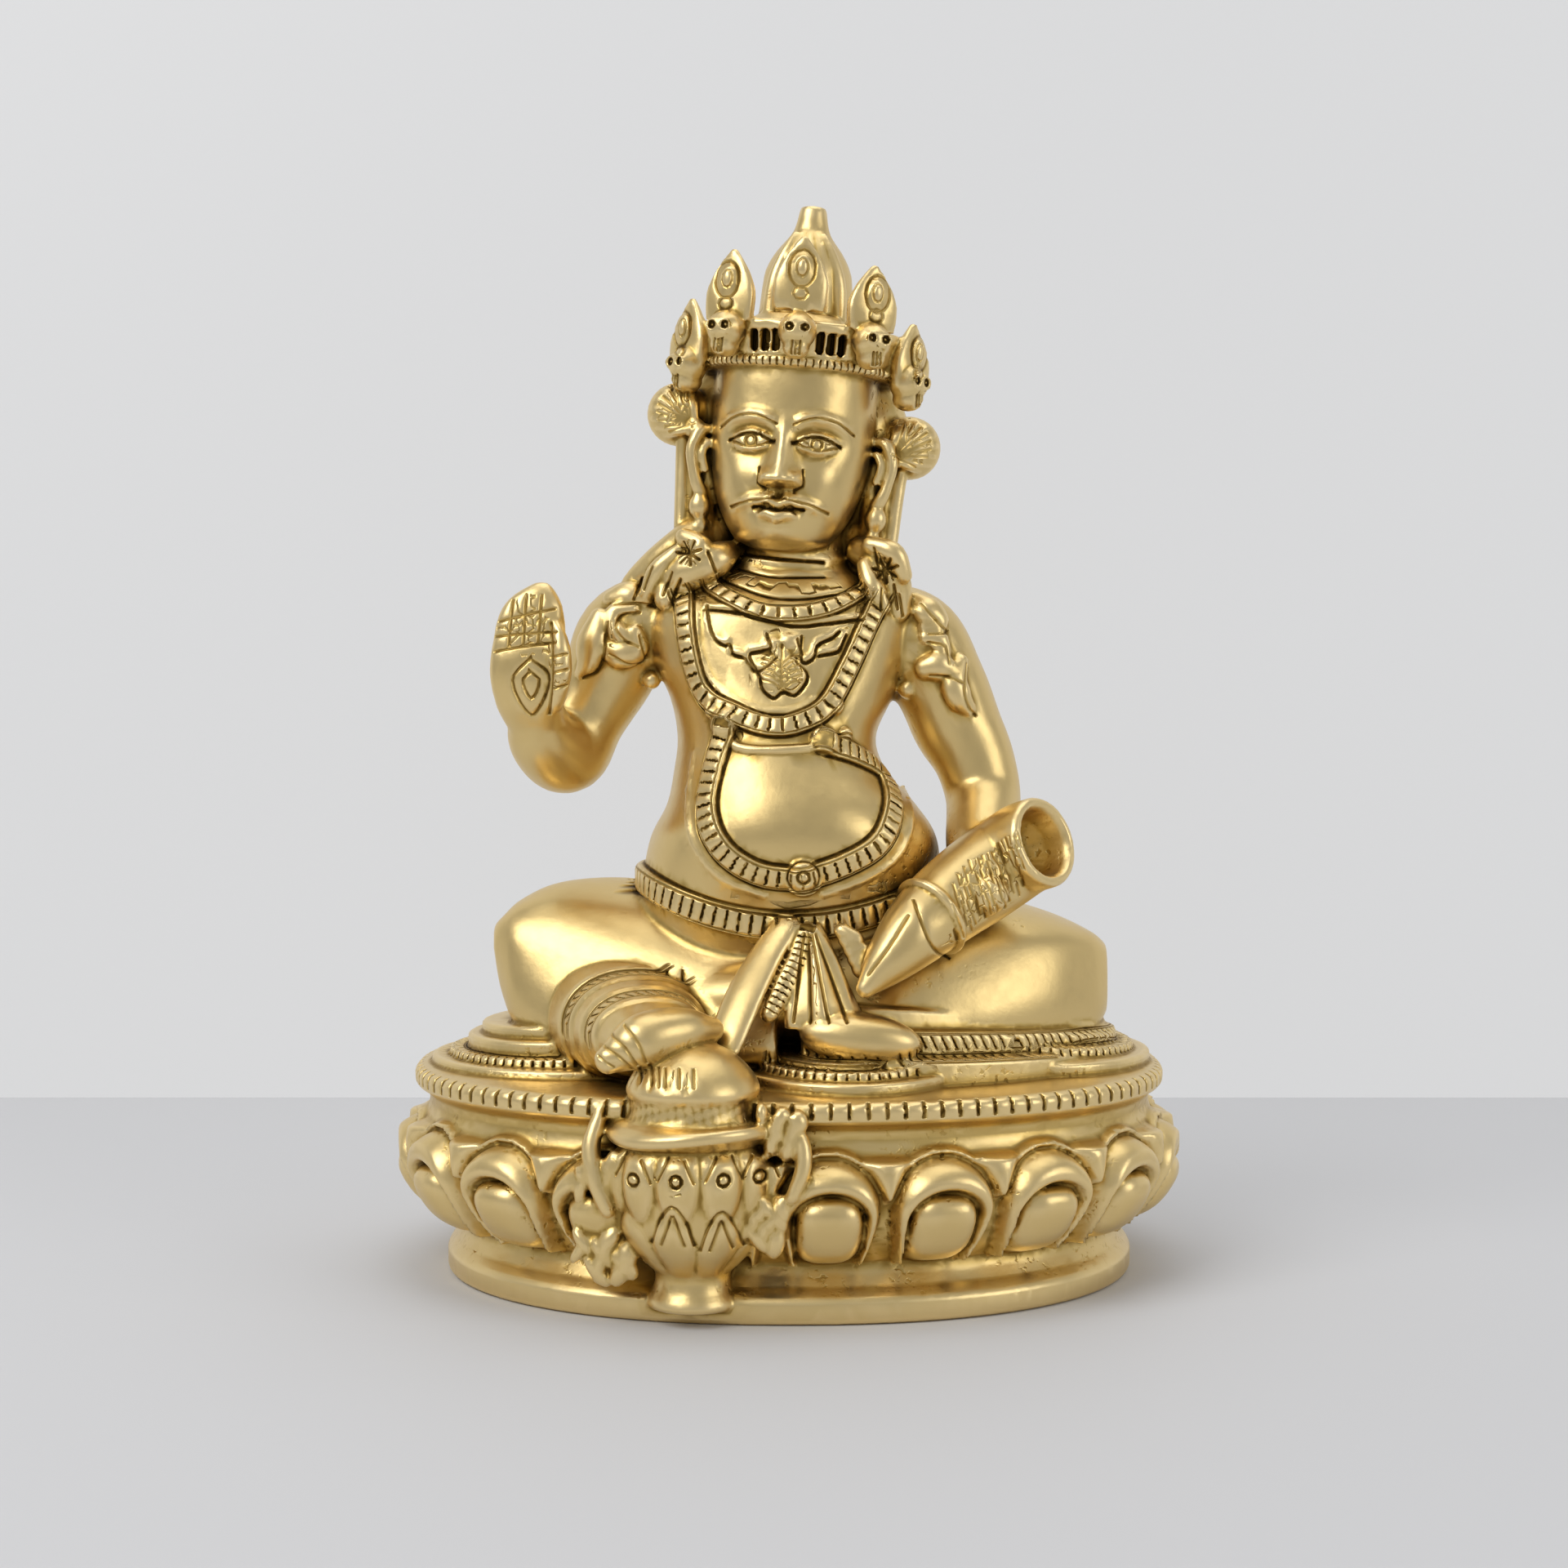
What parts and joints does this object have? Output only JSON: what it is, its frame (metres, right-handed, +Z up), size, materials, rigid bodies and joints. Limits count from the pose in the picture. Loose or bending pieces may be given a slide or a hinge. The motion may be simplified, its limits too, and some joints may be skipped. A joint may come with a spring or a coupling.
{
  "type": "seated brass idol",
  "caption": "Cast seated figure with a crown on a petalled oval throne, one palm raised, holding a mongoose, one foot on a treasure pot.",
  "frame": {"origin": "centre of the underside of the throne's oval plinth", "axes": "+Z up from the underside to the tip of the topknot, the figure faces -Y, +X to the viewer's right"},
  "size_m": [0.1414, 0.1169, 0.1904],
  "materials": {
    "brass": "satin polish, dark brown in the recesses"
  },
  "bodies": {
    "root": {"kubera_idol": "brass"}
  },
  "joints": []
}
